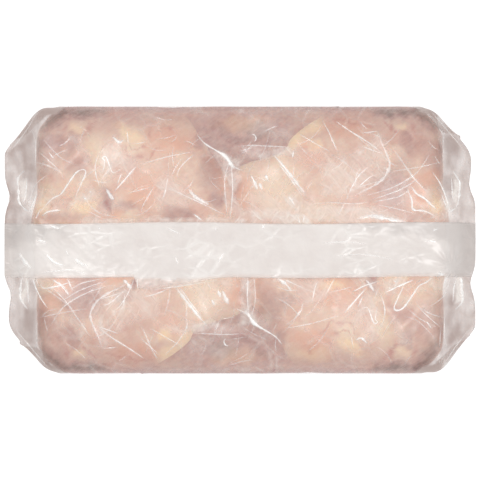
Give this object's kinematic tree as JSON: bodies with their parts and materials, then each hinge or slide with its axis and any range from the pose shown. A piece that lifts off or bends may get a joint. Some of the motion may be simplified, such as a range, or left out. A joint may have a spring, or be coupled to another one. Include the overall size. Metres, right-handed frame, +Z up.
{
  "type": "film pack of chicken breasts",
  "caption": "Sealed clear film pack of raw, boneless, skinless chicken breasts, lying flat with its broad milky back seam upward and both ends folded shut.",
  "frame": {"origin": "on the table under the middle of the pack", "axes": "+X along the pack and its back seam, +Y across it, +Z up, away from the table"},
  "size_m": [0.301, 0.1704, 0.0448],
  "materials": {
    "meat_in_film": "pale pink meat under tight, wrinkled clear film",
    "seam_film": "milky overlapped film with fine crinkles",
    "clear_film": "thin clear film, glossy, with creases and hazy folds",
    "raw_chicken": "moist raw breast meat with fat, fine grain and thin red veins"
  },
  "bodies": {
    "root": {"film_pack": "meat_in_film", "back_seam": "seam_film"}
  },
  "joints": []
}
